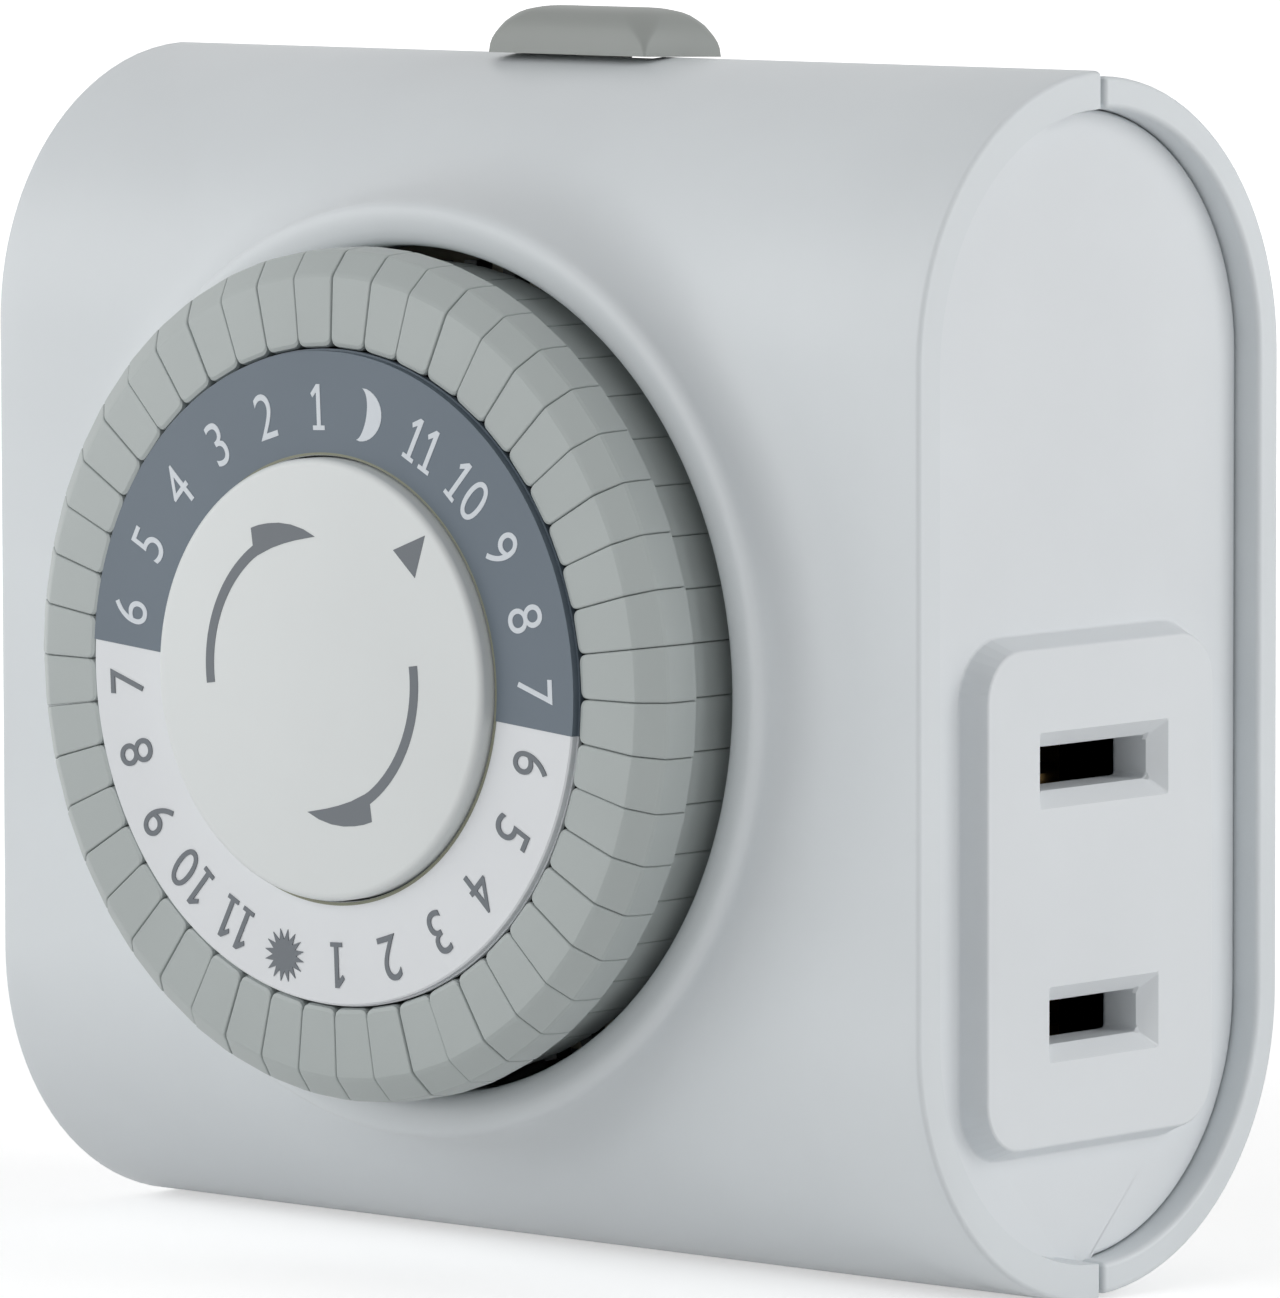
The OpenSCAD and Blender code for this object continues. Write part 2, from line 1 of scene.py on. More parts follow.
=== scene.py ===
# Looks of the plug-in timer switch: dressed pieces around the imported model, floor, lamps and camera.
# Sizes are in millimetres and in the part's own frame: +Z up, wall plane y = 0, depth d means y = -d.
import json
import math
import random

import bmesh
import bpy
from mathutils import Matrix, Vector


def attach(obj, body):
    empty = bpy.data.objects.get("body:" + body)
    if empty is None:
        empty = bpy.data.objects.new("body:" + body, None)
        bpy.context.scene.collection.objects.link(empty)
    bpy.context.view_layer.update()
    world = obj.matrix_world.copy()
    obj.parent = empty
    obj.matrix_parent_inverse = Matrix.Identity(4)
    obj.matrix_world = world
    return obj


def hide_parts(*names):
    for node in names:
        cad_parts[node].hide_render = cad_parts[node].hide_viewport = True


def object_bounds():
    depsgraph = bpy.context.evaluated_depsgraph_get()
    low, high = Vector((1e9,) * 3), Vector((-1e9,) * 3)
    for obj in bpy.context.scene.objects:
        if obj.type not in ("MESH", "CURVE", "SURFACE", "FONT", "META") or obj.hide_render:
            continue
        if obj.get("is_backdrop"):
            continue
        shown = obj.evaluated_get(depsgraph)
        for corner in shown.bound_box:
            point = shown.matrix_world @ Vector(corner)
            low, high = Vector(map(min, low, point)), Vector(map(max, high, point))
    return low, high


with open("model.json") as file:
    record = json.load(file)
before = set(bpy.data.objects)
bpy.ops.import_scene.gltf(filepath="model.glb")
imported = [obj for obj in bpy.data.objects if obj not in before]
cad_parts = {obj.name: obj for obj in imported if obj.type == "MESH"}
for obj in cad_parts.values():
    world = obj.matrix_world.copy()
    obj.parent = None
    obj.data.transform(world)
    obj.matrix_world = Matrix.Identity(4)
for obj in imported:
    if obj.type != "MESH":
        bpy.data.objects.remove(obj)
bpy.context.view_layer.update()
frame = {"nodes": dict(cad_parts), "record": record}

MM = 0.001
SAME_POINT_M = 1e-7    # points of a new mesh that lie closer than this are one, in metres

# ---- sizes shared with the part ----

BODY_W = 63.0
BODY_H = 61.4
BODY_D = 28.2
BEND_R = 14.2          # radius of the rounded top and bottom
WALL = 1.6
CROWN_STEP = 0.3       # how far the front shell stands proud of the rear one at the seam
SEAM_GAP = 0.4
SEAM_D = BODY_D / 2
END_X = BODY_W / 2
BEND_Z = BODY_H / 2 - math.sqrt(BEND_R**2 - (BEND_R - SEAM_D) ** 2)  # height at which the bends begin
DIAL_Z = 0.2
COLLAR_R = 21.43       # radius of the hole in the collar, a little less than the part's
CAP_R = 11.1
CAP_D = 37.5
RING_R = (11.2, 16.4)  # inner and outer radius of the printed ring
RING_D = 36.6
KNOB_TRAVEL = 2.8
KNOB_X = -KNOB_TRAVEL / 2  # where the knob stands at rest
KNOB_SIZE = (10.8, 6.0)
KNOB_Z = BODY_H / 2 + 0.35
NECK = (2.4, 1.8)      # length and width of the knob's neck
SLIDE_Z = 27.8         # top of the override slide, on which the neck stands
TRIPPERS = 48
PITCH_A = 360 / TRIPPERS


# ---- mesh helpers ----


def new_piece(name, points, faces, body, material, sharp_deg=35):
    """A mesh from points in millimetres, shaded smooth up to sharp_deg, that rides on a body."""
    mesh = bpy.data.meshes.new(name)
    mesh.from_pydata([Vector(p) * MM for p in points], [], faces)
    mesh.materials.append(material)
    bm = bmesh.new()
    bm.from_mesh(mesh)
    bmesh.ops.remove_doubles(bm, verts=bm.verts, dist=SAME_POINT_M)
    bmesh.ops.recalc_face_normals(bm, faces=bm.faces)
    bm.to_mesh(mesh)
    bm.free()
    mesh.polygons.foreach_set("use_smooth", [True] * len(mesh.polygons))
    mesh.set_sharp_from_angle(angle=math.radians(sharp_deg))
    piece = bpy.data.objects.new(name, mesh)
    bpy.context.scene.collection.objects.link(piece)
    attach(piece, body)
    return piece


def grid_faces(rows, columns, closed_columns=False, closed_rows=False, start=0):
    """Quads between rows of equal length, numbered row by row."""
    faces = []
    for i in range(rows if closed_rows else rows - 1):
        for j in range(columns if closed_columns else columns - 1):
            a, b = i * columns, ((i + 1) % rows) * columns
            k = (j + 1) % columns
            faces.append([start + a + j, start + a + k, start + b + k, start + b + j])
    return faces


def cut_out(piece, low, high):
    """Removes a box, given by two corners in millimetres, from a closed piece."""
    bpy.ops.mesh.primitive_cube_add(size=1, location=[(a + b) / 2 * MM for a, b in zip(low, high)])
    cutter = bpy.context.object
    cutter.scale = [(b - a) * MM for a, b in zip(low, high)]
    modifier = piece.modifiers.new("cut", "BOOLEAN")
    modifier.operation = "DIFFERENCE"
    modifier.solver = "EXACT"
    modifier.object = cutter
    bpy.context.view_layer.update()
    cut = bpy.data.meshes.new_from_object(piece.evaluated_get(bpy.context.evaluated_depsgraph_get()))
    piece.modifiers.remove(modifier)
    piece.data = cut
    bpy.data.objects.remove(cutter)


def polar(radius, clock_deg, depth, centre=(0.0, 0.0)):
    """Point on the dial: clock_deg runs clockwise from the top, seen from the front."""
    a = math.radians(clock_deg)
    return (centre[0] + radius * math.sin(a), -depth, DIAL_Z + centre[1] + radius * math.cos(a))


def span(low, high, steps):
    return [low + (high - low) * i / steps for i in range(steps + 1)]


# ---- materials ----


def nodes_of(name):
    material = bpy.data.materials.new(name)
    material.use_nodes = True
    tree = material.node_tree
    return material, tree, tree.nodes["Principled BSDF"]


def noise(tree, scale, detail=2.0, rough=0.5, stretch=(1, 1, 1)):
    place = tree.nodes.new("ShaderNodeTexCoord")
    mapping = tree.nodes.new("ShaderNodeMapping")
    mapping.inputs["Scale"].default_value = stretch
    texture = tree.nodes.new("ShaderNodeTexNoise")
    texture.inputs["Scale"].default_value = scale
    texture.inputs["Detail"].default_value = detail
    texture.inputs["Roughness"].default_value = rough
    tree.links.new(place.outputs["Object"], mapping.inputs["Vector"])
    tree.links.new(mapping.outputs["Vector"], texture.inputs["Vector"])
    return texture.outputs["Fac"]


def ramp(tree, value, low, high, from_low=0.35, from_high=0.65):
    node = tree.nodes.new("ShaderNodeMapRange")
    node.inputs["From Min"].default_value = from_low
    node.inputs["From Max"].default_value = from_high
    node.inputs["To Min"].default_value = low
    node.inputs["To Max"].default_value = high
    tree.links.new(value, node.inputs["Value"])
    return node.outputs["Result"]


def two_tone(tree, value, first, second):
    mix = tree.nodes.new("ShaderNodeMix")
    mix.data_type = "RGBA"
    mix.inputs["A"].default_value = (*first, 1)
    mix.inputs["B"].default_value = (*second, 1)
    tree.links.new(value, mix.inputs["Factor"])
    return mix.outputs["Result"]


def bump(tree, value, strength, distance_mm):
    node = tree.nodes.new("ShaderNodeBump")
    node.inputs["Strength"].default_value = strength
    node.inputs["Distance"].default_value = distance_mm * MM
    tree.links.new(value, node.inputs["Height"])
    return node.outputs["Normal"]


def srgb(r, g, b):
    """Linear colour of a value read as 0 to 255."""
    return tuple((c / 255 / 12.92) if c <= 10 else ((c / 255 + 0.055) / 1.055) ** 2.4 for c in (r, g, b))


# scales of the noise behind each mark: the larger, the finer
MOTTLE_SCALE = 60
HANDLING_SCALE = 25
GRAIN_SCALE = 900
DULL_PATCH_SCALE = 90
DULL_STREAK_SCALE = 150
SCRATCH_SCALE = 400


def plastic(name, colour, rough, grain_depth=0.004, mottle=0.04):
    """Moulded plastic: faint mottling, a fine grain, and roughness that wanders with handling.

    Rough and mottle are shares of 1, and grain_depth is in millimetres.
    """
    material, tree, shader = nodes_of(name)
    base = srgb(*colour)
    dark = tuple(c * (1 - mottle) for c in base)
    colour_out = two_tone(tree, ramp(tree, noise(tree, MOTTLE_SCALE, 3), 0, 1), base, dark)
    tree.links.new(colour_out, shader.inputs["Base Color"])
    handling = ramp(tree, noise(tree, HANDLING_SCALE, 4), rough - 0.05, rough + 0.06)
    tree.links.new(handling, shader.inputs["Roughness"])
    tree.links.new(bump(tree, noise(tree, GRAIN_SCALE, 2), 0.35, grain_depth), shader.inputs["Normal"])
    return material


def metal(name, colour, rough, brushed=(1, 1, 40)):
    """Stamped or drawn metal with fine rolling marks and dull patches; brushed stretches the marks."""
    material, tree, shader = nodes_of(name)
    base = srgb(*colour)
    shader.inputs["Metallic"].default_value = 1.0
    dull = tuple(c * 0.8 for c in base)
    patches = ramp(tree, noise(tree, DULL_PATCH_SCALE, 4), 0, 1)
    tree.links.new(two_tone(tree, patches, base, dull), shader.inputs["Base Color"])
    marks = ramp(tree, noise(tree, DULL_STREAK_SCALE, 3, 0.6, brushed), rough - 0.08, rough + 0.12)
    tree.links.new(marks, shader.inputs["Roughness"])
    scratches = bump(tree, noise(tree, SCRATCH_SCALE, 3, 0.6, brushed), 0.3, 0.004)
    tree.links.new(scratches, shader.inputs["Normal"])
    return material


WHITE = plastic("white_abs", (222, 227, 230), 0.42)
PANEL = plastic("panel_abs", (226, 230, 233), 0.45)
CAP = plastic("cap_plastic", (222, 226, 226), 0.4, grain_depth=0.002)
RING_WHITE = plastic("ring_white", (226, 229, 232), 0.45, grain_depth=0.002)
SLATE = plastic("slate_print", (98, 110, 121), 0.5, grain_depth=0.002, mottle=0.06)
INK_WHITE = plastic("white_print", (214, 220, 226), 0.5, grain_depth=0.002)
INK_GREY = plastic("grey_print", (104, 110, 116), 0.5, grain_depth=0.002)
TRIPPER = plastic("tripper_plastic", (176, 183, 182), 0.48, grain_depth=0.006, mottle=0.07)
KNOB = plastic("knob_plastic", (148, 152, 149), 0.5, mottle=0.06)
# Painted shade: a darker olive colour for a flat ring on the hour ring's face, standing in for the shadow
# line round the cap
SHADE_LINE_PAINT = plastic("painted_shade_line", (136, 138, 120), 0.6, grain_depth=0.002)
DARK = plastic("dial_plastic", (96, 100, 100), 0.55)
NATURAL = plastic("natural_nylon", (222, 216, 196), 0.5)
BLACK_LEVER = plastic("lever_acetal", (70, 74, 78), 0.5)
SLEEVE = plastic("wire_sleeve", (150, 40, 34), 0.45)
BRASS = metal("brass_strip", (206, 170, 96), 0.3)
# Painted shade: a darkened copy of the brass for the outlet clips, standing in for the shade inside the
# slots
SLOT_SHADED_BRASS = metal("clip_brass_painted_shade", (120, 98, 62), 0.42)
BRONZE = metal("spring_bronze", (196, 132, 84), 0.28)
BLADE = metal("blade_metal", (205, 198, 178), 0.26)
STEEL = metal("zinc_steel", (188, 190, 192), 0.32)
COPPER = metal("enamelled_wire", (170, 92, 50), 0.35, (40, 1, 40))
FERRITE = plastic("ferrite", (58, 58, 60), 0.6, mottle=0.15)

CAD_MATERIALS = {
    "housing": WHITE, "panel": PANEL, "cap": CAP, "ring": RING_WHITE, "tripper": TRIPPER, "knob": KNOB,
    "dial_plastic": DARK, "gear_plastic": NATURAL, "mechanism_plastic": NATURAL,
    "lever_plastic": BLACK_LEVER, "wire_sleeve": SLEEVE, "blade_metal": BLADE, "brass": BRASS,
    "spring_copper": BRONZE, "steel": STEEL, "motor_steel": STEEL, "copper_wire": COPPER, "magnet": FERRITE,
}
slot_of = {s["node"]: s["material_slot"] for s in frame["record"]["subparts"]}
for node_name, node_object in frame["nodes"].items():
    node_object.data.materials.clear()
    # the outlet clips take the darkened brass, painted shade for the slots' insides
    shaded_in_slot = node_name.endswith("_clip")
    node_object.data.materials.append(SLOT_SHADED_BRASS if shaded_in_slot else CAD_MATERIALS[slot_of[node_name]])


# ---- housing ----


def outline(s, inset):
    """Point [depth, z] of the front shell's outline at arc length s from mid height, moved in by inset."""
    if abs(s) <= BEND_Z:
        return BODY_D - inset, s
    a = (abs(s) - BEND_Z) / BEND_R
    depth = BODY_D - BEND_R + (BEND_R - inset) * math.cos(a)
    return depth, math.copysign(BEND_Z + (BEND_R - inset) * math.sin(a), s)


def seam_s():
    """Arc length at which the outline reaches the seam."""
    edge = SEAM_D + SEAM_GAP / 2
    return BEND_Z + BEND_R * math.acos((edge - BODY_D + BEND_R) / BEND_R)


def s_of_z(z):
    """Arc length of the outline's point at height z."""
    if abs(z) <= BEND_Z:
        return z
    return math.copysign(BEND_Z + BEND_R * math.asin((abs(z) - BEND_Z) / BEND_R), z)


def body_depth(z):
    """Depth of the front shell's plain outer surface at height z."""
    over = max(abs(z) - BEND_Z, 0)
    return BODY_D - BEND_R + math.sqrt(BEND_R**2 - over**2)


def bezier(p0, p1, p2, p3, t):
    u = 1 - t
    weights = (u**3, 3 * u * u * t, 3 * u * t * t, t**3)
    return [sum(w * c for w, c in zip(weights, row)) for row in zip(p0, p1, p2, p3)]


LIP = [  # hole wall and rounded lip of the collar: distance beyond COLLAR_R, and depth
    (0.0, 26.6), (0.0, 29.0), (0.0, 30.2), (0.06, 30.5), (0.2, 30.7), (0.45, 30.83), (0.8, 30.91),
    (1.2, 30.97), (1.55, 31.0), (1.85, 30.96), (2.08, 30.84), (2.25, 30.62),
]
FLARE_R = 27.4          # where the collar's fillet meets the front, at the sides
FLARE_NARROWING = 1.0   # how much nearer the fillet ends above and below the dial
FLARE_PULL = 0.42       # reach of the fillet's two handles, as a share of its length
FLARE_LEAN = 0.16       # outward lean of the handle at the lip
SLOPE_STEP = 0.05       # distance over which the front's slope is taken
FILLET_STEPS = 16
EDGE_R = 0.25           # rounding of the front shell's edges
EDGE_ARC = (15, 45, 75, 90)  # where that rounding has its points, in degrees
RAYS = 384
PLAIN_SHARES = (0.12, 0.26, 0.42, 0.58, 0.72, 0.84, 0.93, 1.0)  # points from the fillet to the edge
INNER_SHARES = (1.0, 0.7, 0.4)                                   # points from the rim back to the hole
INNER_REACH = 0.999     # how near the inner surface comes to the seam
NOTCH_PLAY = 0.3        # room between the knob's neck and the notch in the seam
NOTCH_Z = (25, 40)      # heights between which the notch is cut


def flare_profile(clock_deg):
    """Rings [radius, depth] of the fillet from the lip to the plain front, along one ray."""
    a = math.radians(clock_deg)
    end_r = FLARE_R - FLARE_NARROWING * abs(math.cos(a)) ** 3
    start = (COLLAR_R + LIP[-1][0], LIP[-1][1])
    z = DIAL_Z + end_r * math.cos(a)
    end = (end_r, body_depth(z))
    slope = (body_depth(z + SLOPE_STEP * math.cos(a)) - end[1]) / SLOPE_STEP
    pull = FLARE_PULL * math.dist(start, end)
    lead = pull / math.hypot(1, slope)
    p1 = (start[0] + FLARE_LEAN * pull, start[1] - pull)
    p2 = (end[0] - lead, end[1] - lead * slope)
    return [bezier(start, p1, p2, end, t) for t in span(0, 1, FILLET_STEPS)[1:]]


def rectangle_hit(clock_deg, half_x, half_s):
    """Where a ray from the dial's axis leaves the unrolled front."""
    a = math.radians(clock_deg)
    dx, ds = math.sin(a), math.cos(a)
    reach = math.inf
    if abs(dx) > 1e-9:
        reach = min(reach, half_x / abs(dx))
    if abs(ds) > 1e-9:
        reach = min(reach, (math.copysign(half_s, ds) - DIAL_Z) / ds)
    return reach * dx, DIAL_Z + reach * ds


def ray_angles(half_x, half_s):
    """Evenly spread rays, with one exactly through each corner of the unrolled front."""
    angles = [360 * i / RAYS for i in range(RAYS)]
    for sx in (-1, 1):
        for ss in (-1, 1):
            corner = math.degrees(math.atan2(sx * half_x, ss * half_s - DIAL_Z)) % 360
            nearest = min(range(RAYS), key=lambda i: abs(angles[i] - corner))
            angles[nearest] = corner
    return angles


def rounded_edge(x, s):
    """Rounds the shell's edge over at the boundary point [x, s]: from the outer surface to the rim."""
    loop = []
    for a in EDGE_ARC:
        inset = EDGE_R * (1 - math.cos(math.radians(a)))
        short = EDGE_R * (1 - math.sin(math.radians(a)))
        px = math.copysign(min(abs(x), END_X - short), x)
        ps = math.copysign(min(abs(s), seam_s() - short), s)
        depth, z = outline(ps, inset)
        loop.append((px, -depth, z))
    return loop


def outer_points(clock_deg, half_s):
    """From the wall of the collar's hole over lip, fillet and plain front to the rounded edge."""
    points = [polar(COLLAR_R + out, clock_deg, d) for out, d in LIP]
    points += [polar(r, clock_deg, d) for r, d in flare_profile(clock_deg)]
    x0, s0 = points[-1][0], s_of_z(points[-1][2])
    x1, s1 = rectangle_hit(clock_deg, END_X - EDGE_R, half_s - EDGE_R)
    for t in PLAIN_SHARES:
        depth, z = outline(s0 + (s1 - s0) * t, 0)
        points.append((x0 + (x1 - x0) * t, -depth, z))
    return points + rounded_edge(*rectangle_hit(clock_deg, END_X, half_s))


def inner_points(clock_deg, half_s):
    """From the rim back over the inner surface towards the hole."""
    edge_x, edge_s = rectangle_hit(clock_deg, END_X, half_s)
    hole_x, _, hole_z = polar(COLLAR_R, clock_deg, 0)
    hole_s = s_of_z(hole_z)
    end_s = half_s * INNER_REACH
    points = []
    for t in INNER_SHARES:
        s = max(-end_s, min(end_s, hole_s + (edge_s - hole_s) * t))
        bent = max(0, abs(s) - BEND_Z) / (half_s - BEND_Z)
        depth, z = outline(s, WALL + CROWN_STEP * bent)
        points.append((hole_x + (edge_x - hole_x) * t, -depth, z))
    return points


def build_front_shell():
    half_s = seam_s()
    rings = [outer_points(a, half_s) + inner_points(a, half_s) for a in ray_angles(END_X, half_s)]
    points = [p for ring in rings for p in ring]
    faces = grid_faces(len(rings), len(rings[0]), closed_columns=True, closed_rows=True)
    piece = new_piece("front_shell_skin", points, faces, "housing", WHITE, 50)
    half_x = KNOB_TRAVEL / 2 + NECK[0] / 2 + NOTCH_PLAY
    front_y = -SEAM_D - NECK[1] / 2 - NOTCH_PLAY
    cut_out(piece, (-half_x, front_y, NOTCH_Z[0]), (half_x, -SEAM_D + 1, NOTCH_Z[1]))
    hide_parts("front_shell")


WELD_M = 1e-6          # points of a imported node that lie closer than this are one, in metres
FLAT_DEG = 0.5         # faces that meet at less than this are one flat face
ROUNDING_STEPS = 4
RIM_EDGES = ((0.27, 80), (0.12, 55))   # an end panel's roundings: width, and least angle in degrees
REAR_EDGES = ((0.3, 60),)
BLADE_EDGES = ((0.12, 30),)


def soften(name, roundings, join_flats=False):
    """Rounds the edges of a node that is shown as it is, by width and least angle."""
    node = frame["nodes"][name]
    weld = node.modifiers.new("weld", "WELD")
    weld.merge_threshold = WELD_M
    if join_flats:
        flats = node.modifiers.new("joined_flats", "DECIMATE")
        flats.decimate_type = "DISSOLVE"
        flats.angle_limit = math.radians(FLAT_DEG)
    for i, (width_mm, angle_deg) in enumerate(roundings):
        edge = node.modifiers.new(f"rounded_edges_{i}", "BEVEL")
        edge.width = width_mm * MM
        edge.segments = ROUNDING_STEPS
        edge.limit_method = "ANGLE"
        edge.angle_limit = math.radians(angle_deg)
        edge.use_clamp_overlap = False
        edge.harden_normals = True


build_front_shell()
for end_panel in ("right_outlet_panel", "left_outlet_panel"):
    soften(end_panel, RIM_EDGES)
soften("rear_shell", REAR_EDGES, join_flats=True)
for blade in ("neutral_plug_blade", "hot_plug_blade"):
    soften(blade, BLADE_EDGES)


# ---- dial ----


def turned(name, profile, body, material, sharp_deg=30, steps=192):
    """Closed profile [radius, depth] turned about the dial's axis."""
    points = [polar(r, 360 * i / steps, d) for i in range(steps) for r, d in profile]
    closed = profile[0][0] > 0
    faces = grid_faces(steps, len(profile), closed_columns=closed, closed_rows=True)
    return new_piece(name, points, faces, body, material, sharp_deg)


def printed(name, outlines, depths, body, ink):
    """Thin print between two depths: each outline is a list of [x, z] points."""
    points, faces = [], []
    for line in outlines:
        n, first = len(line), len(points)
        for depth in depths:
            points += [(x, -depth, z) for x, z in line]
        faces.append(list(range(first, first + n)))
        faces.append(list(range(first + 2 * n - 1, first + n - 1, -1)))
        faces += grid_faces(2, n, closed_columns=True, start=first)
    piece = new_piece(name, points, faces, body, ink)
    bm = bmesh.new()
    bm.from_mesh(piece.data)
    bmesh.ops.triangulate(bm, faces=[f for f in bm.faces if len(f.verts) > 4])
    bm.to_mesh(piece.data)
    bm.free()
    return piece


def flat_polar(radius, clock_deg, centre=(0.0, 0.0)):
    """Point [x, z] of the dial's face."""
    x, _, z = polar(radius, clock_deg, 0, centre)
    return x, z


PRINT_AT = (-0.1, -0.39)   # the print sits a little off the ring's centre
MIDNIGHT_A = 12.6          # where midnight stands, clockwise from the top
HOUR_A = 15.0
NUMERAL_R = 14.0
NUMERAL_H = 2.3
NUMERAL_WIDTH = 0.86
NUMERAL_WEIGHT = -0.003    # added to each side of a stroke, as a share of the font's size
INK_D = 0.02               # how far the ink stands proud
ONE = [                    # the figure 1 with a flag and a foot, one unit high
    (-0.2, 0.0), (0.2, 0.0), (0.2, 0.1), (0.075, 0.1), (0.075, 1.0), (-0.05, 1.0), (-0.25, 0.8),
    (-0.19, 0.71), (-0.06, 0.82), (-0.06, 0.1), (-0.2, 0.1),
]
ONE_STEP = 0.6             # from the middle of a 1 to the middle of the next 1
ZERO_STEP = 0.72           # from the middle of a 1 to the middle of a 0
RING_BACK_D = 35.9
RING_BARE_D = RING_D - 0.03  # the white ring's own face, under the print
FOOT_R = 16.52             # the ring's foot, between its edge and the trippers
FOOT_D = 36.2
NIGHT_SIDE_D = RING_D - 0.55  # how far the dark print runs down the ring's edge
SHADE_LINE_R = 11.38           # outer edge of the painted shade line round the cap
MOON_R = 13.95
MOON_H = 1.35              # half the moon's height
MOON_A = MIDNIGHT_A - 3.0
MOON_BULGE = (5.9, 2.4)    # how far its outer and its inner edge stand out, in degrees
MOON_TIP_A = 8             # where its outline stops short of the axis, in degrees
SUN_R = (0.8, 1.35)
SUN_RAYS = 16


def on_circle(radius, clock_deg):
    """Angle at which a line from the print's centre meets a circle about the dial's axis."""
    a = math.radians(clock_deg)
    d = (math.sin(a), math.cos(a))
    along = PRINT_AT[0] * d[0] + PRINT_AT[1] * d[1]
    t = -along + math.sqrt(along**2 - PRINT_AT[0] ** 2 - PRINT_AT[1] ** 2 + radius**2)
    x, z = PRINT_AT[0] + t * d[0], PRINT_AT[1] + t * d[1]
    return math.degrees(math.atan2(x, z))


def figure_mesh(text):
    """One figure as a flat slab, one unit high and centred on the origin."""
    curve = bpy.data.curves.new("figure", "FONT" if text != "1" else "CURVE")
    if text == "1":
        curve.dimensions = "2D"
        curve.fill_mode = "BOTH"
        spline = curve.splines.new("POLY")
        spline.points.add(len(ONE) - 1)
        for point, (x, y) in zip(spline.points, ONE):
            point.co = (x, y, 0, 1)
        spline.use_cyclic_u = True
    else:
        curve.body = text
        curve.size = 1.0
        curve.offset = NUMERAL_WEIGHT
    curve.extrude = 0.5
    maker = bpy.data.objects.new("figure", curve)
    bpy.context.scene.collection.objects.link(maker)
    bpy.context.view_layer.update()
    mesh = bpy.data.meshes.new_from_object(maker.evaluated_get(bpy.context.evaluated_depsgraph_get()))
    bpy.data.objects.remove(maker)
    xs = [v.co.x for v in mesh.vertices]
    ys = [v.co.y for v in mesh.vertices]
    tall = max(ys) - min(ys)
    mesh.transform(Matrix.Translation((-(min(xs) + max(xs)) / 2, -(min(ys) + max(ys)) / 2, 0)))
    mesh.transform(Matrix.Diagonal((1 / tall, 1 / tall, 1, 1)))
    return mesh


def numerals(name, hours, ink):
    """Numbers on the ring, tops outward, as one thin mesh."""
    bm = bmesh.new()
    for text, clock_deg in hours:
        step = 0 if len(text) == 1 else (ONE_STEP if text == "11" else ZERO_STEP)
        a = math.radians(clock_deg)
        across = Vector((math.cos(a), 0, -math.sin(a)))
        outward = Vector((math.sin(a), 0, math.cos(a)))
        middle = Vector(polar(NUMERAL_R, clock_deg, RING_D, PRINT_AT))
        for i, digit in enumerate(text):
            mesh = figure_mesh(digit)
            shift = (i - (len(text) - 1) / 2) * step * NUMERAL_H * NUMERAL_WIDTH
            size = NUMERAL_H * MM
            turn = Matrix((across * size * NUMERAL_WIDTH, outward * size, Vector((0, -INK_D * 2 * MM, 0))))
            place = Matrix.Translation((middle + across * shift) * MM)
            mesh.transform(place @ turn.transposed().to_4x4())
            bm.from_mesh(mesh)
    bmesh.ops.recalc_face_normals(bm, faces=bm.faces)
    mesh = bpy.data.meshes.new(name)
    bm.to_mesh(mesh)
    bm.free()
    mesh.materials.clear()
    mesh.materials.append(ink)
    piece = bpy.data.objects.new(name, mesh)
    bpy.context.scene.collection.objects.link(piece)
    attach(piece, "dial")


def annulus_part(r_in, r_out, from_a, to_a):
    """Outline of a sector of a ring about the dial's axis, cut along lines from the print's centre."""
    line = [flat_polar(r_out, a) for a in span(on_circle(r_out, from_a), on_circle(r_out, to_a), 96)]
    line += [flat_polar(r_in, a) for a in span(on_circle(r_in, to_a), on_circle(r_in, from_a), 96)]
    return line


def crescent():
    """Outline of the moon, its tips on the line to the print's centre."""
    sweep = [math.radians(t) for t in span(MOON_TIP_A, 180 - MOON_TIP_A, 16)]
    outer, inner = MOON_BULGE
    line = [(MOON_H * math.cos(t), outer * math.sin(t)) for t in sweep]
    line += [(0.98 * MOON_H * math.cos(t), inner * math.sin(t) - 0.6) for t in reversed(sweep)]
    return [flat_polar(MOON_R + out, MOON_A + turn, PRINT_AT) for out, turn in line]


def sun_star():
    """Outline of the sun, a star with short rays."""
    x, z = flat_polar(NUMERAL_R + 0.1, MIDNIGHT_A + 180, PRINT_AT)
    line = []
    for k in range(2 * SUN_RAYS):
        r = SUN_R[k % 2]
        a = math.radians(180 * k / SUN_RAYS)
        line.append((x + r * math.sin(a), z + r * math.cos(a)))
    return line


